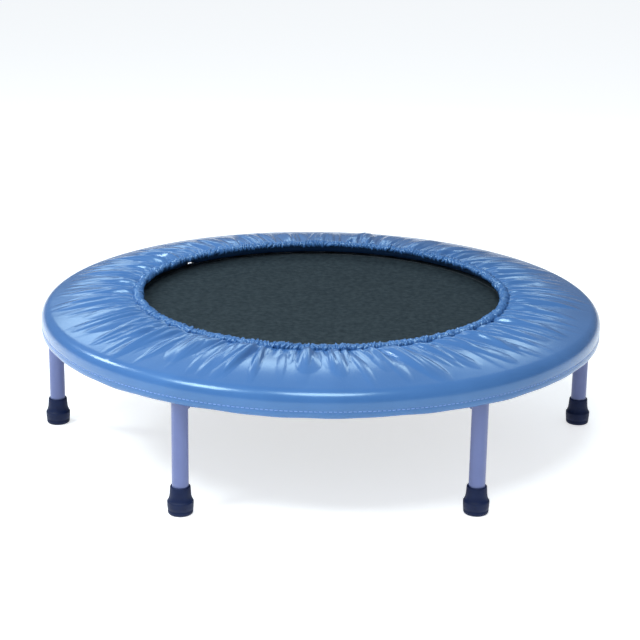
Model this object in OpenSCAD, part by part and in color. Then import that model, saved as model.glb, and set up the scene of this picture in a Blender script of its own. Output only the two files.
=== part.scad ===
// Mini trampoline with legs that fold inwards.
// Millimetres, +Z up, origin on the floor under the centre of the jumping mat.

/* [Overall] */
// Diameter over the safety pad
pad_d = 914; // [760:1:1100]
// Height of the frame ring's centre above the floor
frame_h = 198; // [165:1:240]

/* [Frame ring] */
// Diameter of the ring's tube
ring_tube_d = 25.4; // [21:0.1:31]
// Wall of the ring's tube
ring_wall = 1.5; // [1.2:0.1:2]

/* [Legs] */
// Number of legs, evenly spaced
leg_count = 6; // [6]
// Diameter of a leg's tube
leg_tube_d = 25; // [20.8:0.1:30]
// Wall of a leg's tube
leg_wall = 1.2; // [1:0.1:1.5]
// Distance from a leg's inner face inwards to its hinge bolt's axis
pivot_inset = 7.5; // [6.5:0.25:13.5]
// Depth of a leg's top cap inside the tube
cap_plug_h = 12; // [8:1:20]

/* [Hinges] */
// Diameter of the hinge bolt
bolt_d = 8; // [6.7:0.1:9.6]
// Thickness of the bracket's and the lug's steel plate
plate_t = 2.5; // [2:0.1:3]
// Width of the lug across its two cheeks
lug_w = 16; // [13.4:0.1:19]
// Thickness of a nylon friction washer
washer_t = 0.7; // [0.6:0.05:0.9]
// Wall of the nylon bush round the bolt
bush_wall = 1.9; // [1.6:0.1:2.2]

/* [Rubber feet] */
// Diameter over a foot's widest band
foot_d = 39.6; // [36:0.1:47]
// Height of a foot
foot_h = 44; // [37:0.5:53]
// Thickness of the rubber under the tube
foot_floor = 6.5; // [5.5:0.1:8]
// Thickness of the steel disc inside a foot
foot_disc_t = 1.5; // [1.2:0.1:2]

/* [Springs] */
// Number of springs, a multiple of the number of legs
spring_count = 36; // [30:6:42]
// Distance between the centres of a spring's two hooks
spring_len = 76; // [64:1:91]
// Outside diameter of a spring's coil
coil_d = 12; // [10:0.1:14]
// Diameter of the spring wire
wire_d = 2.2; // [1.8:0.1:2.6]

/* [Jumping mat] */
// Thickness of the woven mat
mat_t = 1.2; // [1:0.1:1.5]
// Width of the band that is sewn under the mat's edge
band_w = 25; // [21:1:30]
// Width of a webbing tab
tab_w = 15; // [12:0.5:16]
// Diameter of a V-ring's wire
v_wire_d = 3; // [2.5:0.1:3.4]
// Width of a V-ring's bar between its arms
v_w = 26; // [25:0.5:31]
// Depth of a V-ring from its bar to its tip
v_depth = 22; // [20:0.5:26]

/* [Safety pad] */
// Width of the pad, from the outside to the opening
pad_w = 163; // [150:1:195]
// Thickness of the cover
cover_t = 1.5; // [1.2:0.1:1.8]
// Thickness of the foam beside the ring
side_foam_t = 4.2; // [3.5:0.1:5]
// Rise of the pad's top from the rim to its crown
crown_rise = 9; // [7.5:0.5:11]
// Diameter of the gathered bead at the opening
bead_d = 12; // [10:0.5:14.4]
// Length of the cover that is turned under the foam
flap_w = 34; // [29:1:40]

/* [Hidden] */
$fn = 96;

leg_blue = [0.38, 0.42, 0.70];
navy = [0.07, 0.09, 0.25];
pad_blue = [0.20, 0.38, 0.80];
mat_black = [0.10, 0.12, 0.12];
zinc = [0.72, 0.73, 0.75];
nylon = [0.90, 0.89, 0.85];

// clearances
weld_gap = 0.05;      // between welded pieces
seat_gap = 0.4;       // between a leg's cap and the ring above it
slide_gap = 0.05;     // round a pin that turns in its bore
soft_gap = 0.6;       // between the pad and what it lies on
hook_gap = 0.3;       // between the foam and a spring's hook
washer_gap = 0.05;    // at each face of a friction washer
tab_gap = 0.1;        // round a V-ring's bar in its tab
elastic_gap = 0.15;   // between a channel's wall and its elastic
disc_gap = 0.3;       // round a foot's steel disc
cut = 1;              // how far a cutting shape runs past the face that it cuts

// the rim of the pad lies round the ring, and high enough for the hooks that stand on the ring
ring_or = ring_tube_d / 2;
wall_mid = ring_or - ring_wall / 2;
hook_r = (coil_d - wire_d) / 2;
hook_angle = 108;
slope = 13;
foam_over_hook = 0.8;
hook_rise = wall_mid * sin(hook_angle) + coil_d / 2 + hook_gap + foam_over_hook;
hook_rim_r = (hook_rise + wall_mid * cos(hook_angle) * tan(slope)) * cos(slope) + cover_t + soft_gap;
rim_r = max(ring_or + soft_gap + side_foam_t + cover_t, hook_rim_r);

// frame ring
pad_r = pad_d / 2;
ring_r = pad_r - rim_r;

// springs: a hook reaches over the ring and down through a hole in its top
hook_c = [ring_r + wall_mid * cos(hook_angle), frame_h + wall_mid * sin(hook_angle)];
hole_angle = hook_angle - 2 * asin(hook_r / 2 / wall_mid);
hole_clear = 3.8;
hole_d = wire_d + hole_clear;
coil_gap = 1.4;
coil_proud = 0.1;     // how far the coil stands outside and inside the wire that joins it
wire_in_coil = 1;
mat_z = hook_c[1];
hook_in_r = hook_c[0] - spring_len;
coil_start_r = ring_r - ring_or - coil_gap;
coil_end_r = hook_in_r + hook_r + coil_gap;
spring_top_z = mat_z + coil_d / 2;

// jumping mat
v_tip_w = coil_d * 0.6;
v_tip_gap = 0.3;
v_apex_r = hook_in_r - (hook_r - wire_d / 2 - v_wire_d / 2 - v_tip_gap);
v_base_r = v_apex_r - v_depth;
tab_reach = 6;
mat_r = v_base_r - tab_reach;
band_t = 1.2;
tab_t = 1.6;
tab_tail = 0.7 * band_w;

// hinges: the bolt lies inboard of the leg, so weight on the leg shuts the hinge
leg_top_z = frame_h - ring_or - seat_gap;
leg_r = leg_tube_d / 2;
cap_t = 2.7;
cap_chamfer = 1.6;
cap_plug_wall = 1.3;
pivot_r = ring_r - leg_r - pivot_inset;
knuckle_r = bolt_d / 2 + bush_wall + plate_t;
pivot_drop = 7;
pivot_z = leg_top_z - pivot_drop;
ear_in = lug_w / 2 + washer_t + 2 * washer_gap;
ear_out = ear_in + plate_t;
ear_r = knuckle_r + 1.4;
ear_bite = 2;         // how far the bracket's plate stops short of the ring's centre
ear_top_z = leg_top_z + seat_gap + 0.6;
ear_back_r = pivot_r + ear_r - 0.8;
web_gap = 0.8;
web_z = pivot_z + knuckle_r + web_gap;
nut_h = bolt_d;
nut_hex_h = 0.7 * nut_h;
collar_d = 1.4 * bolt_d;
head_h = 0.66 * bolt_d;
hex_d = 1.625 * bolt_d / cos(30);
bolt_tail = 1.8;

// lug
lug_top_z = pivot_z + knuckle_r - 3;
lug_floor_z = pivot_z - knuckle_r - 8;
lug_chin = [pivot_r - 0.6 * knuckle_r, pivot_z - 0.8 * knuckle_r];
lug_heel_r = ring_r - leg_r - 2;
lug_inner_r = ring_r - 4;

// rubber foot: half widths at its base, band, waist and neck
foot_r = foot_d / 2;
foot_base_r = foot_r - 1;
foot_waist_r = leg_r + 3.8;
foot_neck_r = leg_r + 2.2;
foot_round = 2.5;
band_z = 0.43 * foot_h;
band_h = 3;
band_bulge = 0.6;
band_top = [foot_r - 0.5, band_z + 2.2];
waist_z = 0.62 * foot_h;
tread_depth = 1.5;
tread_w = 2;
tread_rings = [0.35, 0.65];
tube_foot_z = foot_floor + foot_disc_t;

// safety pad
opening_r = pad_r - pad_w;
bead_r = bead_d / 2;
mid_rim = rim_r - cover_t / 2;
slope_start = [ring_r + mid_rim * sin(slope), frame_h + mid_rim * cos(slope)];
crown_z = frame_h + rim_r + crown_rise;
crown_r = slope_start[0] - (crown_z - slope_start[1]) / tan(slope);
crown_w = 12;         // width of the crown's round
crown_sink = 0.6;     // how far the round's outer end lies under the crown
bead_lift = 4.5;
bead_z = crown_z + bead_lift;
elastic_t = 1.6;
elastic_h = bead_d - 2 * cover_t - 2;
flap_z = spring_top_z - cover_t / 2;
seam_lift = 0.7;
seam_z = frame_h - ring_or + seam_lift;
hem_r = 2.5;
hem_leg_gap = 1.5;
hem_drop = 6.5;
hem_c = [ring_r + leg_r + hem_leg_gap + hem_r, seam_z - hem_drop];

// the foam lies round the hooks and then round the ring, and meets the two circles where they cross
foam_hook_r = coil_d / 2 + hook_gap;
foam_ring_r = ring_or + soft_gap;
foam_cross = (pow(wall_mid, 2) + pow(foam_ring_r, 2) - pow(foam_hook_r, 2)) / (2 * wall_mid * foam_ring_r);
foam_meet_angle = hook_angle - acos(foam_cross);
foam_meet = [ring_r, frame_h] + foam_ring_r * [cos(foam_meet_angle), sin(foam_meet_angle)];
foam_leave_angle = atan2(foam_meet[1] - hook_c[1], foam_meet[0] - hook_c[0]);
foam_end_angle = -38;
foam_edge_lift = 4;   // height of the foam's outer edge above the seam

// ---------- helpers ----------

// Unit vector along a.
function unit(a) = a / norm(a);

// The sideways direction of a path at its point i, lengthened at a corner so that a strip keeps its width.
function side_at(p, i) =
    let (a = unit(p[max(i, 1)] - p[max(i, 1) - 1]))
    let (b = unit(p[min(i, len(p) - 2) + 1] - p[min(i, len(p) - 2)]))
    let (n = unit([-(a + b)[1], (a + b)[0]]))
    n / max(0.5, n * [-a[1], a[0]]);

// The outline of a strip of thickness t along path p.
function strip(p, t) = concat(
    [for (i = [0 : len(p) - 1]) p[i] + side_at(p, i) * t / 2],
    [for (i = [len(p) - 1 : -1 : 0]) p[i] - side_at(p, i) * t / 2]
);

// Points on an arc about c, from angle a to angle b.
function arc(c, r, a, b, n) = [
    for (i = [0 : n]) let (t = a + (b - a) * i / n) c + r * [cos(t), sin(t)]
];

// Turns a drawing in the plane of radius and height upright, at the front of the +X axis.
module upright() rotate([90, 0, 0]) children();

// Puts its children at leg i, counted from 1.
module at_leg(i) rotate([0, 0, (i - 1) * 360 / leg_count]) children();

// Repeats its children at every spring, halfway between the legs' angles.
module at_each_spring() {
    step = 360 / spring_count;
    for (i = [0 : spring_count - 1]) rotate([0, 0, (i + 0.5) * step]) children();
}

// A straight wire from a to b, in the plane of X and Y.
module straight_wire(a, b, d) {
    v = b - a;
    translate([a[0], a[1], 0]) rotate([0, 0, atan2(v[1], v[0])]) rotate([0, 90, 0])
        cylinder(h = norm(v), d = d, $fn = 32);
}

// A wire bent round centre c from angle a through sweep, in the plane of X and Y.
module bent_wire(c, r, a, sweep, d)
    translate([c[0], c[1], 0]) rotate([0, 0, a]) rotate_extrude(angle = sweep) translate([r, 0])
        circle(d = d, $fn = 32);

// ---------- frame ----------

module ring_solid(r)
    translate([0, 0, frame_h]) rotate_extrude($fn = 180) translate([ring_r, 0]) circle(r = r);

module frame_ring() color(leg_blue) difference() {
    translate([0, 0, frame_h]) rotate_extrude($fn = 180) translate([ring_r, 0]) difference() {
        circle(r = ring_or);
        circle(r = ring_or - ring_wall);
    }
    at_each_spring() translate([ring_r, 0, frame_h]) rotate([0, 90 - hole_angle, 0])
        translate([0, 0, ring_or / 2]) cylinder(h = ring_or, d = hole_d, $fn = 32);
}

// One ear's outline: an eye round the bolt, carried up to the ring.
module ear_outline() {
    translate([pivot_r, pivot_z]) circle(r = ear_r);
    polygon([
        [pivot_r - ear_r, pivot_z],
        [pivot_r - ear_r, web_z + plate_t],
        [ring_r - ear_bite, web_z + plate_t],
        [ring_r - ear_bite, ear_top_z],
        [ear_back_r, ear_top_z],
        [ear_back_r, pivot_z],
    ]);
}

module hinge_bracket(i) color(leg_blue) at_leg(i) difference() {
    union() {
        for (side = [-1, 1]) translate([0, side > 0 ? ear_out : -ear_in, 0]) upright()
            linear_extrude(plate_t) ear_outline();
        translate([pivot_r - ear_r, -ear_out, web_z])
            cube([ring_r - ear_bite - pivot_r + ear_r, 2 * ear_out, plate_t]);
    }
    translate([pivot_r, ear_out + cut, pivot_z]) rotate([90, 0, 0])
        cylinder(h = 2 * (ear_out + cut), d = bolt_d + 2 * slide_gap, $fn = 48);
    ring_solid(ring_or + weld_gap);
}

module pivot_bolts() color(zinc) for (i = [1 : leg_count]) at_leg(i)
    translate([pivot_r, 0, pivot_z]) rotate([-90, 0, 0]) {
        tail = ear_out + nut_h + bolt_tail;
        translate([0, 0, -ear_out]) cylinder(h = ear_out + tail, d = bolt_d, $fn = 48);
        translate([0, 0, -ear_out - head_h]) cylinder(h = head_h, d = hex_d, $fn = 6);
    }

module pivot_nuts() color(zinc) for (i = [1 : leg_count]) at_leg(i)
    translate([pivot_r, ear_out, pivot_z]) rotate([-90, 0, 0]) difference() {
        union() {
            cylinder(h = nut_hex_h, d = hex_d, $fn = 6);
            cylinder(h = nut_h, d = collar_d, $fn = 48);
        }
        translate([0, 0, -cut]) cylinder(h = nut_h + 2 * cut, d = bolt_d + 2 * slide_gap, $fn = 48);
    }

module friction_washers() color(nylon) for (i = [1 : leg_count], side = [0, 1]) at_leg(i) mirror([0, side, 0])
    translate([pivot_r, lug_w / 2 + washer_gap, pivot_z]) rotate([-90, 0, 0]) difference() {
        cylinder(h = washer_t, r = knuckle_r, $fn = 48);
        translate([0, 0, -cut]) cylinder(h = washer_t + 2 * cut, d = bolt_d + 2 * slide_gap, $fn = 48);
    }

// ---------- springs ----------

// A spring's end: a hook about the origin, and the wire that runs from its top along +X for reach.
module spring_end(reach) {
    straight_wire([0, hook_r], [reach, hook_r], wire_d);
    bent_wire([0, 0], hook_r, 90, 200, wire_d);
}

module spring_ends() upright() {
    translate([hook_in_r, mat_z]) spring_end(coil_end_r - hook_in_r + wire_in_coil);
    translate(hook_c) mirror([1, 0, 0]) spring_end(hook_c[0] - coil_start_r + wire_in_coil);
}

module spring_coil() translate([coil_end_r, 0, mat_z]) rotate([0, 90, 0]) difference() {
    coil_l = coil_start_r - coil_end_r;
    cylinder(h = coil_l, d = coil_d + coil_proud, $fn = 48);
    translate([0, 0, -cut]) cylinder(h = coil_l + 2 * cut, d = coil_d - 2 * wire_d - coil_proud, $fn = 48);
}

module springs() color(zinc) at_each_spring() union() {
    spring_coil();
    spring_ends();
}

// ---------- jumping mat ----------

module jump_mat() color(mat_black)
    translate([0, 0, mat_z - mat_t / 2]) cylinder(h = mat_t, r = mat_r, $fn = 180);

module edge_band() color(mat_black) translate([0, 0, mat_z - mat_t / 2 - band_t])
    rotate_extrude($fn = 180) translate([mat_r - band_w, 0]) square([band_w, band_t]);

// A tab's section: a loop round the V-ring's base wire, and a tail sewn under the band.
module tab_section() {
    under = mat_z - mat_t / 2 - band_t;
    loop_r = v_wire_d / 2 + tab_gap + 0.625 * tab_t;
    difference() {
        union() {
            translate([v_base_r, mat_z]) circle(r = loop_r, $fn = 48);
            translate([mat_r - tab_tail, under - tab_t]) square([tab_tail, tab_t]);
            polygon([
                [mat_r - cut, under],
                [mat_r - cut, under - tab_t],
                [mat_r, under - tab_t],
                [v_base_r, mat_z - loop_r],
                [v_base_r - loop_r * 0.8, mat_z - loop_r * 0.5],
                [mat_r, under],
            ]);
        }
        translate([v_base_r, mat_z]) circle(r = v_wire_d / 2 + tab_gap, $fn = 48);
    }
}

module webbing_tabs() color(mat_black) at_each_spring()
    translate([0, tab_w / 2, 0]) upright() linear_extrude(tab_w) tab_section();

// A V-ring: a round bar that turns in its tab, and two arms that meet in a short bar for the spring's hook.
module v_ring() {
    arm_t = 0.87 * v_wire_d;
    bar = v_w + v_wire_d;
    translate([v_base_r, bar / 2, 0]) rotate([90, 0, 0]) cylinder(h = bar, d = v_wire_d, $fn = 32);
    translate([0, 0, -arm_t / 2]) linear_extrude(arm_t) polygon(strip([
        [v_base_r, v_w / 2],
        [v_apex_r, v_tip_w / 2],
        [v_apex_r, -v_tip_w / 2],
        [v_base_r, -v_w / 2],
    ], v_wire_d));
}

module v_rings() color(zinc) at_each_spring() translate([0, 0, mat_z]) v_ring();

// ---------- safety pad ----------

// The cover's line: round the hem's elastic, up the skirt, over the rim and the crown, round the opening's
// elastic, down the inner wall and under the foam.
bead_c = [opening_r + bead_r, bead_z];
bead_mid = bead_r - cover_t / 2;
inner_wall_r = bead_c[0] + bead_mid * cos(235);
cover_path = concat(
    arc(hem_c, hem_r - cover_t / 2, 110, 370, 12),
    [[ring_r + mid_rim, seam_z]],
    arc([ring_r, frame_h], mid_rim, 0, 90 - slope, 14),
    [[crown_r, crown_z - cover_t / 2 - crown_sink]],
    [[crown_r - crown_w, crown_z - cover_t / 2 + crown_sink]],
    arc(bead_c, bead_mid, 20, 235, 14),
    [[inner_wall_r, flap_z]],
    [[inner_wall_r + flap_w, flap_z]]
);

module pad_cover() color(pad_blue) rotate_extrude($fn = 180) polygon(strip(cover_path, cover_t));

// The foam fills the cover, taken in by the gap to it, and lies on the springs, their hooks and the ring.
module foam_outline() {
    in = cover_t / 2 + soft_gap;
    foam_in_r = opening_r + bead_d + soft_gap;
    foam_top_z = crown_z - cover_t / 2 - crown_sink - in;
    polygon(concat(
        [[ring_r + mid_rim - in, seam_z + foam_edge_lift]],
        arc([ring_r, frame_h], mid_rim - in, 0, 90 - slope, 14),
        [[crown_r, foam_top_z], [foam_in_r, foam_top_z]],
        [[foam_in_r, spring_top_z + soft_gap]],
        arc(hook_c, foam_hook_r, 90, foam_leave_angle, 6),
        arc([ring_r, frame_h], foam_ring_r, foam_meet_angle, foam_end_angle, 14)
    ));
}

module pad_foam() color(nylon) rotate_extrude($fn = 180) foam_outline();

module opening_elastic() color(nylon) rotate_extrude($fn = 180)
    translate(bead_c) square([elastic_t, elastic_h], center = true);

module hem_elastic() color(nylon) rotate_extrude($fn = 180)
    translate(hem_c) circle(r = hem_r - cover_t - elastic_gap, $fn = 32);

// ---------- legs ----------

module leg_tube(i) color(leg_blue) at_leg(i) translate([ring_r, 0, tube_foot_z]) difference() {
    cylinder(h = leg_top_z - cap_t - tube_foot_z, r = leg_r);
    translate([0, 0, -cut]) cylinder(h = leg_top_z, r = leg_r - leg_wall);
}

module leg_cap(i) color(navy) at_leg(i) translate([ring_r, 0, 0]) rotate_extrude() {
    plug_r = leg_r - leg_wall - weld_gap;
    seat_z = leg_top_z - cap_t;
    polygon([
        [0, leg_top_z],
        [leg_r - cap_chamfer, leg_top_z],
        [leg_r, leg_top_z - cap_chamfer],
        [leg_r, seat_z],
        [plug_r, seat_z],
        [plug_r, seat_z - cap_plug_h],
        [plug_r - cap_plug_wall, seat_z - cap_plug_h],
        [plug_r - cap_plug_wall, seat_z],
        [0, seat_z],
    ]);
}

// The lug: two cheeks and a floor folded from plate, welded to the leg's inner side.
module leg_lug(i) color(leg_blue) at_leg(i) difference() {
    slot_w = lug_w - 2 * plate_t;
    slot_r = lug_chin[0] - 2 * knuckle_r;
    slot_top_z = pivot_z + 2 * knuckle_r;
    union() {
        translate([pivot_r, lug_w / 2, pivot_z]) rotate([90, 0, 0]) cylinder(h = lug_w, r = knuckle_r);
        translate([0, lug_w / 2, 0]) upright() linear_extrude(lug_w) polygon([
            [pivot_r, lug_top_z],
            [lug_inner_r, lug_top_z],
            [lug_inner_r, lug_floor_z],
            [lug_heel_r, lug_floor_z],
            lug_chin,
        ]);
    }
    translate([0, slot_w / 2, 0]) upright() linear_extrude(slot_w) polygon([
        [slot_r, lug_chin[1] + plate_t],
        lug_chin + [0, plate_t],
        [lug_heel_r, lug_floor_z + plate_t],
        [ring_r, lug_floor_z + plate_t],
        [ring_r, slot_top_z],
        [slot_r, slot_top_z],
    ]);
    translate([pivot_r, lug_w, pivot_z]) rotate([90, 0, 0])
        cylinder(h = 2 * lug_w, r = bolt_d / 2 + bush_wall + slide_gap, $fn = 48);
    translate([ring_r, 0, 0]) cylinder(h = 2 * frame_h, r = leg_r + weld_gap);
}

module hinge_bush(i) color(nylon) at_leg(i)
    translate([pivot_r, lug_w / 2, pivot_z]) rotate([90, 0, 0]) difference() {
        cylinder(h = lug_w, r = bolt_d / 2 + bush_wall, $fn = 48);
        translate([0, 0, -cut]) cylinder(h = lug_w + 2 * cut, r = bolt_d / 2 + slide_gap, $fn = 48);
    }

module rubber_foot(i) color(navy) at_leg(i) translate([ring_r, 0, 0]) difference() {
    rotate_extrude() union() {
        polygon(concat(
            [[0, 0], [foot_base_r - foot_round, 0]],
            arc([foot_base_r - foot_round, foot_round], foot_round, -90, 0, 6),
            [[foot_r - band_bulge, band_z - band_h], [foot_r, band_z], band_top],
            [[foot_waist_r, waist_z], [foot_neck_r, foot_h], [0, foot_h]]
        ));
    }
    translate([0, 0, foot_floor]) cylinder(h = foot_h, r = leg_r + weld_gap);
    for (share = tread_rings) translate([0, 0, -cut]) difference() {
        cylinder(h = cut + tread_depth, r = share * foot_base_r + tread_w / 2);
        translate([0, 0, -cut]) cylinder(h = 3 * cut + tread_depth, r = share * foot_base_r - tread_w / 2);
    }
}

module foot_disc(i) color(zinc) at_leg(i)
    translate([ring_r, 0, foot_floor]) cylinder(h = foot_disc_t, r = leg_r - disc_gap);

// ---------- the parts ----------

frame_ring();
pivot_bolts();
pivot_nuts();
friction_washers();
springs();
pad_cover();
pad_foam();
opening_elastic();
hem_elastic();
jump_mat();
edge_band();
webbing_tabs();
v_rings();
for (i = [1 : leg_count]) {
    hinge_bracket(i);
    leg_tube(i);
    leg_lug(i);
    leg_cap(i);
    hinge_bush(i);
    rubber_foot(i);
    foot_disc(i);
}
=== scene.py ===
# %% [markdown]
# # A mini trampoline, with its looks built round a CAD frame
#
# The steelwork, the hinges and the sizes come from a CAD model that is loaded first and never moved. This
# lesson adds what CAD is poor at: a gathered vinyl cover, woven cloth, coiled springs, stitching and
# finishes. All lengths are in metres, and sizes are read from the CAD pieces wherever those have them.

# %% Load the frame
import math

import bpy
import numpy as np
from mathutils import Matrix, Vector


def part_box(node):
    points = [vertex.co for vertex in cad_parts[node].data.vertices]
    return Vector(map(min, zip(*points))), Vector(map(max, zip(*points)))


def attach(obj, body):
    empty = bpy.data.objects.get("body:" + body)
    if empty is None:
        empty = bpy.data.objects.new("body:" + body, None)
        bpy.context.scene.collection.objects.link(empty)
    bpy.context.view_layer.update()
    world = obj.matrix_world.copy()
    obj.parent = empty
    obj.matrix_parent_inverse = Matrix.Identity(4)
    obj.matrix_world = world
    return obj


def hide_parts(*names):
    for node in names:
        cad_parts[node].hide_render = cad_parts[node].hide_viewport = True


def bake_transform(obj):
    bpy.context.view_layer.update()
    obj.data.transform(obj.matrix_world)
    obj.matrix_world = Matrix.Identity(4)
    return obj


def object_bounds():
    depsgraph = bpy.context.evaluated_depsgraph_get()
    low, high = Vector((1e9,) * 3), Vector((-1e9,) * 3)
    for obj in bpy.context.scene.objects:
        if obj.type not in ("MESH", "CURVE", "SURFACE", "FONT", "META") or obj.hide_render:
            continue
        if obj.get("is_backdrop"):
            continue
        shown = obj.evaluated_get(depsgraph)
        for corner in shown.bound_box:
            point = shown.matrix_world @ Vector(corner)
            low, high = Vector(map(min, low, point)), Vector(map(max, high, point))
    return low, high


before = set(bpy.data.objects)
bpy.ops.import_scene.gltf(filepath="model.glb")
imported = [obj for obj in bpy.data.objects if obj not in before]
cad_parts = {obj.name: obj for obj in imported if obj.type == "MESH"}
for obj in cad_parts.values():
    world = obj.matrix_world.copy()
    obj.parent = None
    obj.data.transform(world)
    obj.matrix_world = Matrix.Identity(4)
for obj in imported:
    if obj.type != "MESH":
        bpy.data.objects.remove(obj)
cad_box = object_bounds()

LEGS = 6
SPRINGS = 36
ELASTIC_T = 0.0016
FIRST_SPRING = math.pi / SPRINGS
scene = bpy.context.scene

# %% [markdown]
# ## Sizes from the frame
#
# The ring, the mat and the pad's opening are round and centred on the origin, so half of a node's box is
# its radius. Reading them here keeps every soft piece tied to the steelwork that it lies on.

# %% Read the sizes
ring_low, ring_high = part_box("frame_ring")
RING_TUBE = (ring_high.z - ring_low.z) / 2
RING_Z = (ring_high.z + ring_low.z) / 2
RING_R = ring_high.x - RING_TUBE
pad_low, pad_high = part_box("pad_cover")
PAD_R = pad_high.x
HEM_Z = pad_low.z
bead_low, bead_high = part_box("opening_elastic")
BEAD_Z = (bead_low.z + bead_high.z) / 2
BEAD_R = bead_high.x - ELASTIC_T / 2
mat_low, mat_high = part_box("jump_mat")
MAT_R = mat_high.x
MAT_Z = (mat_low.z + mat_high.z) / 2
MAT_T = mat_high.z - mat_low.z
SPRING_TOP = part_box("springs")[1].z
print(f"ring {RING_R:.4f}, pad {PAD_R:.4f}, opening {BEAD_R:.4f}, mat {MAT_R:.4f} at {MAT_Z:.4f}")

# %% [markdown]
# ## Camera, light and floor
#
# The camera comes first, because every later choice is judged through it. A long lens from well back keeps
# the round rim close to a true ellipse. It is placed by yaw, pitch and a slight roll, and its axes are
# written straight into a matrix, which is easier to reason about than three Euler angles.

# %% Camera
CAMERA_AT = Vector((-0.1171, -2.7724, 1.0499))
CAMERA_YAW = 0.0417
CAMERA_PITCH = 0.3037
CAMERA_ROLL = 0.0156
CAMERA_LENS = 98.7


def add_camera():
    forward = Vector((
        math.sin(CAMERA_YAW) * math.cos(CAMERA_PITCH),
        math.cos(CAMERA_YAW) * math.cos(CAMERA_PITCH),
        -math.sin(CAMERA_PITCH),
    ))
    level = Vector((math.cos(CAMERA_YAW), -math.sin(CAMERA_YAW), 0.0))
    above = level.cross(forward)
    right = level * math.cos(CAMERA_ROLL) + above * math.sin(CAMERA_ROLL)
    up = above * math.cos(CAMERA_ROLL) - level * math.sin(CAMERA_ROLL)
    data = bpy.data.cameras.new("camera")
    data.lens = CAMERA_LENS
    data.sensor_width = 36.0
    data.clip_start = 0.05
    camera = bpy.data.objects.new("camera", data)
    scene.collection.objects.link(camera)
    turn = Matrix((right, up, -forward)).transposed().to_4x4()
    camera.matrix_world = Matrix.Translation(CAMERA_AT) @ turn
    scene.camera = camera
    return camera


print("camera:", add_camera().name)


# %% Lights and floor
SIDE_LIGHT = (0.16, 0.17, 0.18)
TOP_LIGHT = (0.36, 0.40, 0.44)
FRONT_TINT = (0.88, 0.97, 1.0)
LEFT_TINT = (0.90, 0.97, 1.0)
BACK_TINT = (0.70, 0.92, 1.0)
LAMP_DISTANCE = 2.6
LAMP_AIM = (0, 0, 0.2)
FLOOR_HALF = 12.0
FLOOR_GREY = (0.84, 0.84, 0.84, 1)
FLOOR_GLOW = 0.64
WHITE = (1.0, 1.0, 1.0, 1)


def add_lamp(name, direction, size, power, tint):
    """A round lamp in that direction from the origin, turned towards the object."""
    data = bpy.data.lights.new(name, "AREA")
    data.shape = "DISK"
    data.size = size
    data.energy = power
    data.color = tint
    lamp = bpy.data.objects.new(name, data)
    scene.collection.objects.link(lamp)
    lamp.location = Vector(direction) * LAMP_DISTANCE
    lamp.rotation_euler = (Vector(LAMP_AIM) - lamp.location).to_track_quat("-Z", "Y").to_euler()
    return lamp


def add_stage():
    """A pale floor that glows a little, so that only a soft shadow shows on it."""
    mesh = bpy.data.meshes.new("floor")
    corners = [(x * FLOOR_HALF, y * FLOOR_HALF, 0) for x, y in ((-1, -1), (1, -1), (1, 1), (-1, 1))]
    mesh.from_pydata(corners, [], [(0, 1, 2, 3)])
    floor = bpy.data.objects.new("floor", mesh)
    scene.collection.objects.link(floor)
    material = bpy.data.materials.new("floor_paint")
    material.use_nodes = True
    shader = material.node_tree.nodes["Principled BSDF"]
    shader.inputs["Base Color"].default_value = FLOOR_GREY
    shader.inputs["Roughness"].default_value = 0.9
    shader.inputs["Emission Color"].default_value = WHITE
    shader.inputs["Emission Strength"].default_value = FLOOR_GLOW
    mesh.materials.append(material)
    floor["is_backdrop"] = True
    return floor


def add_studio():
    """Soft light, strong from above and weak from the sides, with a plain white backdrop for the camera."""
    world = bpy.data.worlds.new("studio")
    world.use_nodes = True
    tree = world.node_tree
    glow = tree.nodes["Background"]
    place = tree.nodes.new("ShaderNodeTexCoord")
    parts = tree.nodes.new("ShaderNodeSeparateXYZ")
    ramp = tree.nodes.new("ShaderNodeValToRGB")
    ramp.color_ramp.elements[0].color = (*SIDE_LIGHT, 1)
    ramp.color_ramp.elements[1].color = (*TOP_LIGHT, 1)
    tree.links.new(place.outputs["Generated"], parts.inputs[0])
    tree.links.new(parts.outputs["Z"], ramp.inputs["Fac"])
    tree.links.new(ramp.outputs["Color"], glow.inputs["Color"])
    backdrop = tree.nodes.new("ShaderNodeBackground")
    backdrop.inputs["Color"].default_value = WHITE
    path = tree.nodes.new("ShaderNodeLightPath")
    choose = tree.nodes.new("ShaderNodeMixShader")
    tree.links.new(path.outputs["Is Camera Ray"], choose.inputs[0])
    tree.links.new(glow.outputs[0], choose.inputs[1])
    tree.links.new(backdrop.outputs[0], choose.inputs[2])
    tree.links.new(choose.outputs[0], tree.nodes["World Output"].inputs["Surface"])
    scene.world = world


scene.view_settings.view_transform = "Standard"
add_stage()
add_studio()
for name, direction, size, power, tint in (
    ("high_front", (0.0, -0.46, 0.89), 1.0, 33, FRONT_TINT),
    ("high_left", (-0.54, -0.36, 0.76), 0.8, 30, FRONT_TINT),
    ("left", (-0.76, 0.20, 0.62), 0.5, 15, LEFT_TINT),
    ("back", (-0.02, 0.80, 0.60), 0.7, 3.8, BACK_TINT),
    ("back_right", (0.30, 0.76, 0.57), 0.6, 3.0, BACK_TINT),
    ("back_left", (-0.33, 0.80, 0.50), 0.6, 2.6, BACK_TINT),
):
    add_lamp(name, direction, size, power, tint)

# %% [markdown]
# ## Shared effects as node groups
#
# Two effects serve many finishes: an uneven tone, which keeps a surface from looking like flat paint, and a
# plain weave. Each is built once as a group with named sockets. A group gives only masks and heights, and
# each material keeps its own shader.


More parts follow.
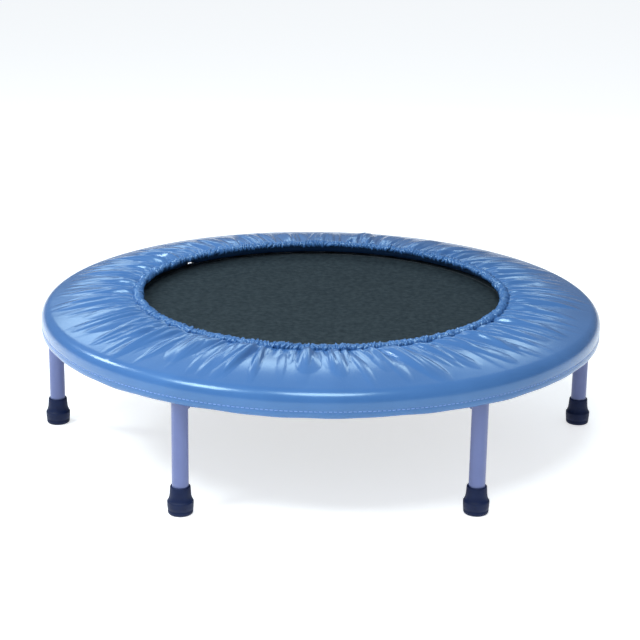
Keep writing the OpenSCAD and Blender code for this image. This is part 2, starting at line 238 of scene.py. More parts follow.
# %% Group helpers
def new_group(name, inputs, outputs):
    tree = bpy.data.node_groups.new(name, "ShaderNodeTree")
    for label, kind, value in inputs:
        socket = tree.interface.new_socket(name=label, in_out="INPUT", socket_type=kind)
        if value is not None:
            socket.default_value = value
    for label, kind in outputs:
        tree.interface.new_socket(name=label, in_out="OUTPUT", socket_type=kind)
    return tree, tree.nodes.new("NodeGroupInput"), tree.nodes.new("NodeGroupOutput")


def add_math(tree, operation, a, b=None):
    node = tree.nodes.new("ShaderNodeMath")
    node.operation = operation
    for socket, value in zip(node.inputs, (a, b), strict=False):
        if value is None:
            continue
        if isinstance(value, (int, float)):
            socket.default_value = value
        else:
            tree.links.new(value, socket)
    return node.outputs[0]


# %% Uneven tone
def build_uneven_tone():
    tree, given, result = new_group(
        "uneven_tone",
        [
            ("Vector", "NodeSocketVector", None),
            ("Size", "NodeSocketFloat", 40.0),
            ("Fine", "NodeSocketFloat", 400.0),
        ],
        [("Patch", "NodeSocketFloat"), ("Speck", "NodeSocketFloat")],
    )
    for label, scale, detail in (("Patch", "Size", 4.0), ("Speck", "Fine", 2.0)):
        noise = tree.nodes.new("ShaderNodeTexNoise")
        noise.inputs["Detail"].default_value = detail
        tree.links.new(given.outputs["Vector"], noise.inputs["Vector"])
        tree.links.new(given.outputs[scale], noise.inputs["Scale"])
        tree.links.new(noise.outputs["Fac"], result.inputs[label])
    return tree


# %% Plain weave
def build_plain_weave():
    tree, given, result = new_group(
        "plain_weave",
        [("Vector", "NodeSocketVector", None), ("Threads", "NodeSocketFloat", 2500.0)],
        [("Height", "NodeSocketFloat"), ("Warp", "NodeSocketFloat")],
    )
    scaled = tree.nodes.new("ShaderNodeVectorMath")
    scaled.operation = "SCALE"
    tree.links.new(given.outputs["Vector"], scaled.inputs[0])
    tree.links.new(given.outputs["Threads"], scaled.inputs["Scale"])
    parts = tree.nodes.new("ShaderNodeSeparateXYZ")
    tree.links.new(scaled.outputs[0], parts.inputs[0])
    across = add_math(tree, "SINE", parts.outputs["X"])
    along = add_math(tree, "SINE", parts.outputs["Y"])
    over = add_math(tree, "GREATER_THAN", add_math(tree, "MULTIPLY", across, along), 0.0)
    one = add_math(tree, "MULTIPLY", add_math(tree, "ABSOLUTE", across), over)
    under = add_math(tree, "SUBTRACT", 1.0, over)
    other = add_math(tree, "MULTIPLY", add_math(tree, "ABSOLUTE", along), under)
    tree.links.new(add_math(tree, "ADD", one, other), result.inputs["Height"])
    tree.links.new(over, result.inputs["Warp"])
    return tree


UNEVEN_TONE = build_uneven_tone()
PLAIN_WEAVE = build_plain_weave()
print("groups:", [g.name for g in bpy.data.node_groups])

# %% [markdown]
# ## Finishes
#
# Each finish is a Principled shader whose colour and roughness wander a little with the uneven-tone group,
# and a Bump node for what is too small to model: grain in vinyl, orange peel in powder coat, threads in
# cloth. Patterns read Object coordinates, because every finished piece keeps its place in its mesh and its
# object at the origin.


# %% Material helper
TONE_FROM = 0.3
TONE_TO = 0.7
WEAVE_SHADE = 0.6


def finish(name, dark, light, rough, patch=40.0, fine=400.0, bump=0.1, depth=0.0002, weave=None, **constants):
    """A shader between two colours and two roughnesses; weave is the threads' sine in radians per metre."""
    material = bpy.data.materials.new(name)
    material.use_nodes = True
    tree = material.node_tree
    shader = tree.nodes["Principled BSDF"]
    place = tree.nodes.new("ShaderNodeTexCoord")
    tone = tree.nodes.new("ShaderNodeGroup")
    tone.node_tree = UNEVEN_TONE
    tone.inputs["Size"].default_value = patch
    tone.inputs["Fine"].default_value = fine
    tree.links.new(place.outputs["Object"], tone.inputs["Vector"])
    ramp = tree.nodes.new("ShaderNodeValToRGB")
    ramp.color_ramp.elements[0].position = TONE_FROM
    ramp.color_ramp.elements[0].color = (*dark, 1)
    ramp.color_ramp.elements[1].position = TONE_TO
    ramp.color_ramp.elements[1].color = (*light, 1)
    tree.links.new(tone.outputs["Patch"], ramp.inputs["Fac"])
    rougher = tree.nodes.new("ShaderNodeMapRange")
    rougher.inputs["To Min"].default_value = rough[0]
    rougher.inputs["To Max"].default_value = rough[1]
    tree.links.new(tone.outputs["Speck"], rougher.inputs["Value"])
    tree.links.new(rougher.outputs["Result"], shader.inputs["Roughness"])
    bumps = tree.nodes.new("ShaderNodeBump")
    bumps.inputs["Strength"].default_value = bump
    bumps.inputs["Distance"].default_value = depth
    colour = ramp.outputs["Color"]
    height = tone.outputs["Speck"]
    if weave:
        cloth = tree.nodes.new("ShaderNodeGroup")
        cloth.node_tree = PLAIN_WEAVE
        cloth.inputs["Threads"].default_value = weave
        tree.links.new(place.outputs["Object"], cloth.inputs["Vector"])
        height = cloth.outputs["Height"]
        shade = tree.nodes.new("ShaderNodeMixRGB")
        shade.blend_type = "MULTIPLY"
        shade.inputs["Fac"].default_value = WEAVE_SHADE
        tree.links.new(colour, shade.inputs["Color1"])
        tree.links.new(height, shade.inputs["Color2"])
        colour = shade.outputs["Color"]
    tree.links.new(colour, shader.inputs["Base Color"])
    tree.links.new(height, bumps.inputs["Height"])
    tree.links.new(bumps.outputs["Normal"], shader.inputs["Normal"])
    for label, value in constants.items():
        shader.inputs[label.replace("_", " ")].default_value = value
    return material


# %% Finishes of this object
vinyl = finish(
    "blue_vinyl", (0.046, 0.136, 0.345), (0.060, 0.164, 0.400), (0.21, 0.30), patch=9.0, fine=900.0,
    bump=0.12, depth=0.00012, Coat_Weight=0.35, Coat_Roughness=0.18, Specular_Tint=(0.6, 0.92, 1.0, 1.0),
)
steel_paint = finish(
    "blue_powder_coat", (0.108, 0.140, 0.325), (0.122, 0.158, 0.36), (0.30, 0.42), patch=25.0, fine=1300.0,
    bump=0.10, depth=0.00008, Coat_Weight=0.15,
)
zinc = finish(
    "zinc_plate", (0.52, 0.53, 0.55), (0.68, 0.68, 0.69), (0.22, 0.36), patch=120.0, fine=1500.0,
    bump=0.05, depth=0.00003, Metallic=1.0,
)
rubber = finish(
    "navy_rubber", (0.003, 0.009, 0.042), (0.005, 0.014, 0.058), (0.46, 0.60), patch=60.0, fine=1800.0,
    bump=0.18, depth=0.00008, Specular_IOR_Level=0.22,
)
moulded = finish("navy_plastic", (0.008, 0.011, 0.05), (0.011, 0.015, 0.066), (0.35, 0.45), patch=60.0)
nylon = finish("natural_nylon", (0.62, 0.60, 0.54), (0.70, 0.68, 0.62), (0.40, 0.52), patch=80.0)
foam = finish(
    "open_foam", (0.52, 0.50, 0.44), (0.66, 0.64, 0.57), (0.85, 0.95), patch=30.0, fine=900.0,
    bump=0.7, depth=0.0006,
)
mat_cloth = finish(
    "woven_mat", (0.017, 0.028, 0.036), (0.043, 0.060, 0.070), (0.62, 0.74), patch=130.0, fine=700.0,
    bump=0.7, depth=0.0005, weave=1750.0, Specular_IOR_Level=0.08,
)
webbing = finish(
    "black_webbing", (0.012, 0.014, 0.016), (0.024, 0.027, 0.030), (0.6, 0.7), patch=50.0,
    bump=0.6, depth=0.0003, weave=4200.0,
)
thread = finish("pale_thread", (0.14, 0.26, 0.62), (0.20, 0.34, 0.72), (0.4, 0.5), patch=200.0)
dark_thread = finish("grey_thread", (0.10, 0.11, 0.12), (0.16, 0.17, 0.18), (0.6, 0.7), patch=200.0)
print("finishes:", len(bpy.data.materials))

# %% [markdown]
# ## Mesh helpers
#
# Almost every soft piece here is a closed section swept round a circle. A grid of points, turned into quads
# that wrap both ways, makes such a shape with no seams. A tube round a path makes every wire and thread.


# %% Grid, tube and lathe
def link_mesh(name, points, faces, material):
    mesh = bpy.data.meshes.new(name)
    mesh.from_pydata([tuple(p) for p in points], [], faces)
    mesh.materials.append(material)
    mesh.shade_smooth()
    mesh.validate()
    piece = bpy.data.objects.new(name, mesh)
    scene.collection.objects.link(piece)
    return piece


def wrapped_grid(name, grid, material):
    """A closed surface from grid[i][j], which wraps both ways."""
    rows, columns = grid.shape[:2]
    index = np.arange(rows * columns).reshape(rows, columns)
    ahead, aside = np.roll(index, -1, 0), np.roll(index, -1, 1)
    across = np.roll(ahead, -1, 1)
    faces = np.stack([index, ahead, across, aside], -1).reshape(-1, 4)
    return link_mesh(name, grid.reshape(-1, 3), faces.tolist(), material)


def round_grid(turn, radius, height):
    """Points round +Z: row i lies at the angle turn[i], with its own radii and heights."""
    return np.stack([radius * np.cos(turn)[:, None], radius * np.sin(turn)[:, None], height], -1)


def swept_section(name, section, count, material, crumple=None):
    """Sweeps a closed section of (radius, height) round +Z, listed so that its faces point outwards."""
    section = np.asarray(section, float)
    turn = np.linspace(0, 2 * math.pi, count, endpoint=False)
    radius = np.broadcast_to(section[:, 0], (count, len(section)))
    height = np.broadcast_to(section[:, 1], (count, len(section)))
    if crumple is not None:
        radius, height = crumple(turn, radius, height)
    return wrapped_grid(name, round_grid(turn, radius, height), material)


def tube_points(path, radius, sides, closed=False):
    """Points and faces of a round wire along path, carried without twisting."""
    path = np.asarray(path, float)
    count = len(path)
    if closed:
        ahead = np.roll(path, -1, 0) - np.roll(path, 1, 0)
    else:
        ahead = np.gradient(path, axis=0)
    ahead /= np.linalg.norm(ahead, axis=1)[:, None]
    side = np.cross(ahead[0], (0, 0, 1) if abs(ahead[0][2]) < 0.9 else (1, 0, 0))
    rings = []
    for place, along in zip(path, ahead, strict=True):
        side = side - along * (side @ along)
        side /= np.linalg.norm(side)
        other = np.cross(along, side)
        turn = np.linspace(0, 2 * math.pi, sides, endpoint=False)[:, None]
        rings.append(place + radius * (np.cos(turn) * side + np.sin(turn) * other))
    points = np.concatenate(rings)
    faces = []
    for i in range(count if closed else count - 1):
        a, b = i * sides, (i + 1) % count * sides
        for j in range(sides):
            k = (j + 1) % sides
            faces.append((a + j, a + k, b + k, b + j))
    if not closed:
        faces.append(tuple(range(sides))[::-1])
        faces.append(tuple((count - 1) * sides + j for j in range(sides)))
    return points, faces


def lathe(name, outline, count, material, centre=(0.0, 0.0)):
    """Turns an outline of (radius, height), which starts and ends on the axis, round a vertical axis."""
    outline = np.asarray(outline, float)
    inner = outline[1:-1]
    turn = np.linspace(0, 2 * math.pi, count, endpoint=False)
    points = [(centre[0], centre[1], outline[0][1]), (centre[0], centre[1], outline[-1][1])]
    for radius, height in inner:
        points += [(centre[0] + radius * math.cos(t), centre[1] + radius * math.sin(t), height) for t in turn]
    faces = []
    for j in range(count):
        k = (j + 1) % count
        faces.append((0, 2 + k, 2 + j))
        last = 2 + (len(inner) - 1) * count
        faces.append((1, last + j, last + k))
        for i in range(len(inner) - 1):
            a, b = 2 + i * count, 2 + (i + 1) * count
            faces.append((a + j, a + k, b + k, b + j))
    return link_mesh(name, points, faces, material)


print("helpers ready")

# %% [markdown]
# ## The padded cover
#
# The real cover is a wide ring of coated cloth. Its outer edge fits the frame and its inner edge is longer
# than the opening, so an elastic gathers it into folds that start tight at the opening and die out towards
# the rim. Folds like that are rounded on top and meet in sharp creases. Taking the highest of many
# overlapping rounded lobes gives just that, where adding waves together would give soft creases and regular
# ripples.

# %% The cover's section
COVER_T = 0.0012
SLOPE = math.radians(13)
RIM = PAD_R - RING_R
FOLD_ROOM = 0.0105
CROWN_Z = pad_high.z - FOLD_ROOM
STITCH_Z = HEM_Z + 0.0105
SEAM_IN = 0.0007
CROWN_PULL = 0.17
POINT_SPACING = 0.0027


def arc(centre, radius, start, stop, count):
    turn = np.linspace(math.radians(start), math.radians(stop), count)
    return np.stack([centre[0] + radius * np.cos(turn), centre[1] + radius * np.sin(turn)], -1)


def distance_along(line):
    """How far each point of a line is from its start, measured along the line."""
    steps = np.linalg.norm(np.diff(line, axis=0), axis=1)
    return np.concatenate([[0], np.cumsum(steps)])


def resample(line, spacing):
    """Points along a line of (radius, height), about spacing apart."""
    travel = distance_along(line)
    count = max(2, int(round(travel[-1] / spacing)) + 1)
    want = np.linspace(0, travel[-1], count)
    return np.stack([np.interp(want, travel, line[:, 0]), np.interp(want, travel, line[:, 1])], -1)


def cover_line():
    """The cover's outside, from the opening's casing over the crown and rim to the hem."""
    top = (RING_R + RIM * math.sin(SLOPE), RING_Z + RIM * math.cos(SLOPE))
    hem = [(PAD_R, STITCH_Z + 0.0030), (PAD_R - SEAM_IN, STITCH_Z), (PAD_R + 0.0003, STITCH_Z - 0.0032)]
    hem += [(PAD_R - 0.0002, HEM_Z + 0.0022), (PAD_R - 0.0016, HEM_Z + 0.0004)]
    foot = np.array((BEAD_R + 0.0040, BEAD_Z - 0.0024))
    start = np.array((BEAD_R + 0.0120, BEAD_Z - 0.0016))
    leave = CROWN_PULL * np.array((1.0, 0.02))
    arrive = CROWN_PULL * np.array((math.cos(SLOPE), -math.sin(SLOPE)))
    t = np.linspace(0, 1, 24)[:, None]
    crown = (2 * t**3 - 3 * t**2 + 1) * start + (t**3 - 2 * t**2 + t) * leave
    crown += (3 * t**2 - 2 * t**3) * np.array(top) + (t**3 - t**2) * arrive
    rim = arc((RING_R, RING_Z), RIM, 90 - math.degrees(SLOPE), 0, 18)
    return np.concatenate([[foot], crown, rim[1:], [(PAD_R, RING_Z - 0.005)], hem])


cover_outline = resample(cover_line(), POINT_SPACING)
print("cover section:", len(cover_outline), "points")

# %% Fold lobes
TURNS = 1500
FOLD_JITTER = 0.36
FOLD_CROWDING = 0.22
FOLD_SKEW = 0.42
rng = np.random.default_rng(36)


def lobes(count, height, width, reach, slant):
    """Random folds: where each starts, its height, half width, reach outwards, slant and skew."""
    even = (np.arange(count) + rng.uniform(-FOLD_JITTER, FOLD_JITTER, count)) * 2 * math.pi / count
    return {
        "angle": even + FOLD_CROWDING * np.sin(even),
        "height": rng.uniform(*height, count),
        "width": rng.uniform(*width, count),
        "reach": rng.uniform(*reach, count),
        "slant": rng.normal(0, slant, count),
        "skew": rng.uniform(-FOLD_SKEW, FOLD_SKEW, count),
    }


BROAD_FOLDS = lobes(46, (0.0044, 0.0094), (0.014, 0.024), (0.095, 0.150), 0.12)
FINE_FOLDS = lobes(170, (0.0028, 0.0066), (0.0058, 0.0098), (0.030, 0.140), 0.11)
LONG_FOLDS = lobes(60, (0.0014, 0.0036), (0.007, 0.014), (0.110, 0.150), 0.09)
print("folds:", [len(folds["angle"]) for folds in (BROAD_FOLDS, FINE_FOLDS, LONG_FOLDS)])

# %% Fold heights
LEAN_AT = 5.2
LEAN_SPREAD = 0.6
LEAN_MOST = 0.30
START_HEIGHT = 0.22
START_WIDTH = 0.55
WIDENING = 0.85
FADE_POWER = 1.3
ROUNDNESS = 2.2
FINE_SHARE = 0.8


def angle_between(turn, angle):
    """The way round from an angle to turn, from minus half a turn to half a turn."""
    return (turn - angle + math.pi) % (2 * math.pi) - math.pi


def fold_height(turn, travel, radius, folds, foot):
    """The highest of the folds at each angle and distance from the opening; foot is how far out they rise."""
    best = np.zeros((len(turn), len(travel)))
    for angle, height, width, reach, slant, skew in zip(*folds.values(), strict=True):
        lean = slant + LEAN_MOST * math.exp(-(angle_between(angle, LEAN_AT) / LEAN_SPREAD) ** 2)
        away = angle_between(turn[:, None], angle)
        sideways = away * radius[None, :] - lean * travel[None, :]
        along = np.clip(travel / reach, 0, 1)
        spread = width * (START_WIDTH + WIDENING * along) * np.sqrt(1.0001 - along**2)
        spread = spread[None, :] * (1 + skew * np.sign(sideways))
        rise = np.clip(START_HEIGHT + (1 - START_HEIGHT) * travel / foot, 0, 1)
        fade = (1 - along**FADE_POWER) * rise
        lobe = height * fade[None, :] * (1 - np.abs(sideways / spread) ** ROUNDNESS)
        best = np.maximum(best, lobe)
    return best


def cover_folds(turn, radius, travel):
    broad = fold_height(turn, travel, radius, BROAD_FOLDS, 0.028)
    fine = fold_height(turn, travel, radius, FINE_FOLDS, 0.014)
    long = fold_height(turn, travel, radius, LONG_FOLDS, 0.040)
    return broad + FINE_SHARE * fine + long


print("ready to fold a cover of", TURNS, "rows")

# %% Build the cover
INSIDE_STEP = 3
INSIDE_SHARE = 0.6
HEM_WAVE = 0.0005


def outward(section):
    """The direction away from the pad's inside at each point of a section."""
    along = np.gradient(section, axis=0)
    along /= np.linalg.norm(along, axis=1)[:, None]
    return np.stack([-along[:, 1], along[:, 0]], -1)


def hem_wave(turn):
    """An uneven rise and fall round the hem."""
    return np.sin(turn * 9 + 1) + 0.7 * np.sin(turn * 23 + 2) + 0.5 * np.sin(turn * 41)


def build_cover():
    """One closed skin: the folded outside, and an inside with fewer points and flatter folds."""
    turn = np.linspace(0, 2 * math.pi, TURNS, endpoint=False)
    folds = cover_folds(turn, cover_outline[:, 0], distance_along(cover_outline))
    out = outward(cover_outline)
    outer = cover_outline[None] + folds[..., None] * out[None]
    inner_out = out[::INSIDE_STEP]
    inner_line = cover_outline[::INSIDE_STEP] - COVER_T * inner_out
    inner = inner_line[None] + INSIDE_SHARE * folds[:, ::INSIDE_STEP, None] * inner_out[None]
    section = np.concatenate([outer, inner[:, ::-1]], 1)
    radius, height = section[..., 0], section[..., 1]
    low = np.clip((RING_Z - height) / (RING_Z - HEM_Z), 0, 1)
    height = height + HEM_WAVE * hem_wave(turn)[:, None] * low
    return wrapped_grid("padded_cover", round_grid(turn, radius, height)[::-1], vinyl)


cover = build_cover()
print("cover:", len(cover.data.polygons), "faces")

# %% [markdown]
# ## The gathered casing
#
# Where the elastic runs, the cloth is bunched into tight little ruffles, far finer than the folds beside
# them. A separate tube with its own fine grid carries them, so the wide cover doesn't have to. From the
# casing the cloth slants out and down, and turns under the foam as a flap.

# %% Casing
RUFFLES = 300
CASING_TURNS = 3440
CASING_AROUND = 22
CASING_LEAST = 0.002088
CASING_PUFF = 0.0064
CASING_STRETCH = 1.22
CASING_OUT = 0.0006
CASING_WAVE = 0.0005
RUFFLE_LEAN = 0.013
WIDE_SHARE = 0.62
ruffle_edges = (np.arange(RUFFLES) + rng.uniform(-0.32, 0.32, RUFFLES)) * 2 * math.pi / RUFFLES
ruffle_sizes = rng.uniform(0.40, 1.0, RUFFLES)


def ruffle(turn):
    """A height from 0 to 1 at each angle, with round tops and sharp, unevenly spaced valleys."""
    edges = np.concatenate([ruffle_edges, [ruffle_edges[0] + 2 * math.pi]])
    turn = (turn - edges[0]) % (2 * math.pi) + edges[0]
    which = np.clip(np.searchsorted(edges, turn, side="right") - 1, 0, RUFFLES - 1)
    middle = (edges[which] + edges[which + 1]) / 2
    share = (turn - middle) / (edges[which + 1] - edges[which]) * 2
    return np.sqrt(np.clip(1 - share**2, 0, 1)) * ruffle_sizes[which]


def build_casing():
    """A tube round the opening whose thickness follows wide ruffles with others half as wide on them."""
    turn = np.linspace(0, 2 * math.pi, CASING_TURNS, endpoint=False)
    around = np.linspace(0, 2 * math.pi, CASING_AROUND, endpoint=False)
    lean = RUFFLE_LEAN * np.sin(around + 2.6 * np.sin(turn * 17)[:, None])
    wide, narrow = ruffle(turn[:, None] + lean), ruffle(turn[:, None] * 2 - 1.7 * lean)
    bulge = CASING_LEAST + CASING_PUFF * (WIDE_SHARE * wide + (1 - WIDE_SHARE) * narrow)
    radius = BEAD_R + CASING_OUT + bulge * CASING_STRETCH * np.cos(around)[None]
    height = BEAD_Z + bulge * np.sin(around)[None] + CASING_WAVE * np.sin(turn * 41)[:, None]
    return wrapped_grid("gathered_casing", round_grid(turn, radius, height), vinyl)


# %% Flap
FLAP_LOW = SPRING_TOP - 0.0004
FLAP_SAG = MAT_Z + 0.0032
FLAP_RIPPLE = 0.0009
TUCK_AT = 27 * FIRST_SPRING
TUCK_HALF = 0.030
TUCK_OUT = 0.014
TUCK_UP = 0.002


def crumple_flap(turn, radius, height):
    """Ruffles near the casing, and one tuck where the flap's middle is drawn outwards."""
    upper = np.clip((height - FLAP_LOW) / (BEAD_Z - FLAP_LOW), 0, 1)
    tucked = np.exp(-(((turn - TUCK_AT) / TUCK_HALF) ** 2))[:, None]
    shy = np.clip((BEAD_R + 0.042 - radius) / 0.026, 0, 1) * (upper < 0.2)
    ripple = ruffle(turn)[:, None] * FLAP_RIPPLE * upper
    return radius + TUCK_OUT * tucked * shy, height + ripple + TUCK_UP * tucked * shy


def build_flap():
    under = np.array([
        (BEAD_R + 0.0600, FLAP_LOW), (BEAD_R + 0.0500, FLAP_LOW), (BEAD_R + 0.0440, FLAP_LOW - 0.0012),
        (BEAD_R + 0.0390, FLAP_SAG), (BEAD_R + 0.0155, FLAP_SAG), (BEAD_R + 0.0130, FLAP_SAG + 0.0012),
        (BEAD_R + 0.0030, BEAD_Z - 0.0044),
    ])
    section = np.concatenate([under, under[::-1] + np.array([0.0006, 0.0012])])
    return swept_section("turned_flap", section[::-1], TURNS, vinyl, crumple_flap)


casing = build_casing()
flap = build_flap()
print("casing:", len(casing.data.polygons), "flap:", len(flap.data.polygons))

# %% [markdown]
# ## Foam
#
# The foam shows only from below, between the springs. It follows its CAD solid round the ring and under the
# cover, and has an open-cell finish.


# %% Foam ring
def build_foam():
    base = SPRING_TOP + 0.0006
    top = CROWN_Z - 0.0032
    inner = BEAD_R + 0.0225
    section = [(inner, top - 0.0006), (BEAD_R + 0.0385, base)]
    section += [(inner + step, base) for step in np.linspace(0.022, RING_R - inner - 0.016, 14)]
    section += [tuple(p) for p in arc((RING_R, RING_Z), RING_TUBE + 0.0009, 108, -30, 14)]
    section += [tuple(p) for p in arc((RING_R, RING_Z), RIM - 0.0024, -22, 77, 14)]
    section += [(BEAD_R + 0.098, CROWN_Z - 0.0040), (BEAD_R + 0.050, CROWN_Z - 0.0028), (inner + 0.0015, top)]
    return swept_section("foam_ring", section[::-1], 360, foam)


foam_ring = build_foam()
print("foam:", len(foam_ring.data.polygons))

# %% [markdown]
# ## The jumping mat
#
# The mat is a flat disc of woven plastic cloth, pulled tight by the springs. A band is folded under its
# edge and two rows of stitches hold it. The mesh is plain, and the weave and the mottle of its finish keep
# the disc from reading as a sheet of metal.


# %% Mat and band
def build_mat():
    top, base = MAT_Z + MAT_T / 2, MAT_Z - MAT_T / 2
    rings = np.linspace(0, 1, 40)[1:] ** 0.9 * (MAT_R - 0.0006)
    outline = [(0.0, base)] + [(r, base) for r in rings] + [(MAT_R, MAT_Z)]
    outline += [(r, top) for r in rings[::-1]] + [(0.0, top)]
    return lathe("woven_mat", outline, 240, mat_cloth)


def build_band():
    low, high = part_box("edge_band")
    inner = high.x - 0.025
    section = [(inner, high.z), (inner, low.z + 0.0003), (inner + 0.0005, low.z)]
    section += [(high.x - 0.0005, low.z), (high.x, low.z + 0.0003), (high.x, high.z)]
    return swept_section("folded_band", section, 360, webbing)


mat = build_mat()
band = build_band()
print("mat:", len(mat.data.polygons), "band:", len(band.data.polygons))

# %% [markdown]
# ## What repeats round a circle, with Geometry Nodes
#
# Stitches, tabs and V-rings are each one shape set out evenly round the mat or the skirt. The shape is
# drawn at angle 0, at its own radius. One node tree makes a point on the axis for each copy, turns a copy
# about it, makes the copies real and gives them their material. The result is then kept as a plain mesh.


# %% The tree
def build_round_tree():
    tree = bpy.data.node_groups.new("set_out_round", "GeometryNodeTree")
    tree.is_modifier = True
    for label, kind in (
        ("Geometry", "NodeSocketGeometry"), ("Shape", "NodeSocketObject"), ("Count", "NodeSocketInt"),
        ("First angle", "NodeSocketFloat"), ("Finish", "NodeSocketMaterial"),
    ):
        tree.interface.new_socket(name=label, in_out="INPUT", socket_type=kind)
    tree.interface.new_socket(name="Geometry", in_out="OUTPUT", socket_type="NodeSocketGeometry")
    given, result = tree.nodes.new("NodeGroupInput"), tree.nodes.new("NodeGroupOutput")
    points = tree.nodes.new("GeometryNodePoints")
    shape = tree.nodes.new("GeometryNodeObjectInfo")
    stand = tree.nodes.new("GeometryNodeInstanceOnPoints")
    real = tree.nodes.new("GeometryNodeRealizeInstances")
    paint = tree.nodes.new("GeometryNodeSetMaterial")
    index = tree.nodes.new("GeometryNodeInputIndex")
    turn = tree.nodes.new("ShaderNodeCombineXYZ")

    def calculate(operation, a, b):
        node = tree.nodes.new("ShaderNodeMath")
        node.operation = operation
        for socket, value in zip(node.inputs, (a, b), strict=False):
            if isinstance(value, float):
                socket.default_value = value
            else:
                tree.links.new(value, socket)
        return node.outputs[0]

    step = calculate("DIVIDE", 2 * math.pi, given.outputs["Count"])
    angle = calculate("ADD", calculate("MULTIPLY", index.outputs[0], step), given.outputs["First angle"])
    tree.links.new(angle, turn.inputs["Z"])
    tree.links.new(given.outputs["Count"], points.inputs["Count"])
    tree.links.new(given.outputs["Shape"], shape.inputs["Object"])
    tree.links.new(points.outputs[0], stand.inputs["Points"])
    tree.links.new(shape.outputs["Geometry"], stand.inputs["Instance"])
    tree.links.new(turn.outputs[0], stand.inputs["Rotation"])
    tree.links.new(stand.outputs[0], real.inputs[0])
    tree.links.new(real.outputs[0], paint.inputs["Geometry"])
    tree.links.new(given.outputs["Finish"], paint.inputs["Material"])
    tree.links.new(paint.outputs[0], result.inputs[0])
    return tree


ROUND_TREE = build_round_tree()


def set_out_round(name, shape, count, first_angle, material):
    """Copies of shape round +Z as one plain mesh; shape itself is removed."""
    holder = bpy.data.objects.new(name + "_maker", bpy.data.meshes.new(name + "_maker"))
    scene.collection.objects.link(holder)
    modifier = holder.modifiers.new("round", "NODES")
    modifier.node_group = ROUND_TREE
    keys = {s.name: s.identifier for s in ROUND_TREE.interface.items_tree if s.in_out == "INPUT"}
    values = {"Shape": shape, "Count": count, "First angle": first_angle, "Finish": material}
    for label, value in values.items():
        modifier[keys[label]] = value
    bpy.context.view_layer.update()
    evaluated = holder.evaluated_get(bpy.context.evaluated_depsgraph_get())
    mesh = bpy.data.meshes.new_from_object(evaluated)
    mesh.name = name
    for old in (holder, shape):
        bpy.data.objects.remove(old)
    piece = bpy.data.objects.new(name, mesh)
    scene.collection.objects.link(piece)
    mesh.shade_smooth()
    print(f"{name}: {count} set out, {len(mesh.polygons)} faces")
    return piece


# %% Stitches
STITCH_POINTS = 7
SKIRT_STITCHES = 410
SKIRT_STITCH = 0.0048
SKIRT_THREAD_R = 0.00055
MAT_STITCHES = 400
MAT_STITCH = 0.0032
MAT_THREAD_R = 0.00032
MAT_THREAD_RISE = 0.0004
MAT_SEAMS_IN = (0.0045, 0.0205)
SEAM_SHIFT = 0.005


def mat_stitch(radius):
    """One stitch along a circle of that radius, at angle 0: a short thread that dips at both ends."""
    along = np.linspace(-0.5, 0.5, STITCH_POINTS)
    rise = MAT_THREAD_RISE * np.cos(along * math.pi) ** 0.6
    height = mat_high.z + rise - MAT_THREAD_RISE * 0.6
    path = np.stack([np.full(STITCH_POINTS, radius), along * MAT_STITCH, height], -1)
    points, faces = tube_points(path, MAT_THREAD_R, 5)
    return link_mesh("stitch", points, faces, dark_thread)


def skirt_stitch():
    """One stitch on the skirt at angle 0: a short level thread that dips into the cloth at both ends."""
    along = np.linspace(-0.5, 0.5, STITCH_POINTS)
    proud = 0.0005 * np.cos(along * math.pi) ** 0.6 - 0.0002
    path = np.stack([PAD_R - SEAM_IN + proud, along * SKIRT_STITCH, np.full(STITCH_POINTS, STITCH_Z)], -1)
    points, faces = tube_points(path, SKIRT_THREAD_R, 6)
    return link_mesh("stitch", points, faces, thread)


hem_stitches = set_out_round("hem_stitches", skirt_stitch(), SKIRT_STITCHES, 0.0, thread)
stitches = [
    set_out_round(
        f"mat_stitches_{k + 1}", mat_stitch(MAT_R - inset), MAT_STITCHES, k * SEAM_SHIFT, dark_thread,
    )
    for k, inset in enumerate(MAT_SEAMS_IN)
]

# %% [markdown]
# ## Tabs and V-rings
#
# Each spring pulls on a bent wire ring, and a doubled webbing tab holds that ring to the mat's edge. The
# tab is a loop of webbing seen from the side, so it is drawn as a closed outline and given its width. The
# ring is one wire along a rounded triangle.

# %% Tabs
V_BAR_R = MAT_R + 0.006
V_WIRE_R = 0.0015
V_TIP_HALF = 0.0036
V_TIP_R = (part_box("v_rings")[1].x - V_TIP_HALF * math.sin(FIRST_SPRING)) / math.cos(FIRST_SPRING) - V_WIRE_R
TAB_W = 0.0146


def build_tab():
    under = mat_low.z - 0.0012
    outer = [(MAT_R - 0.0170, under), (MAT_R - 0.0172, under - 0.0008), (MAT_R - 0.0170, under - 0.0016)]
    outer += [(MAT_R - 0.001, under - 0.0016)]
    outer += [tuple(p) for p in arc((V_BAR_R, MAT_Z), 0.0026, 250, 470, 14)]
    outer += [(MAT_R + 0.0012, MAT_Z + 0.0014), (MAT_R + 0.0008, MAT_Z - 0.0004)]
    outline = [*outer, (MAT_R + 0.0022, MAT_Z + 0.0002)]
    half = TAB_W / 2
    count = len(outline)
    points = [(r, -half, z) for r, z in outline] + [(r, half, z) for r, z in outline]
    faces = [tuple(range(count))[::-1], tuple(range(count, 2 * count))]
    faces += [(k, (k + 1) % count, count + (k + 1) % count, count + k) for k in range(count)]
    return link_mesh("tab", points, faces, webbing)


tabs = set_out_round("webbing_tabs_round", build_tab(), SPRINGS, FIRST_SPRING, webbing)


# %% V-rings
V_BAR_HALF = 0.013
V_TIP_CORNER = 0.0042
V_BEND_R = 0.0030


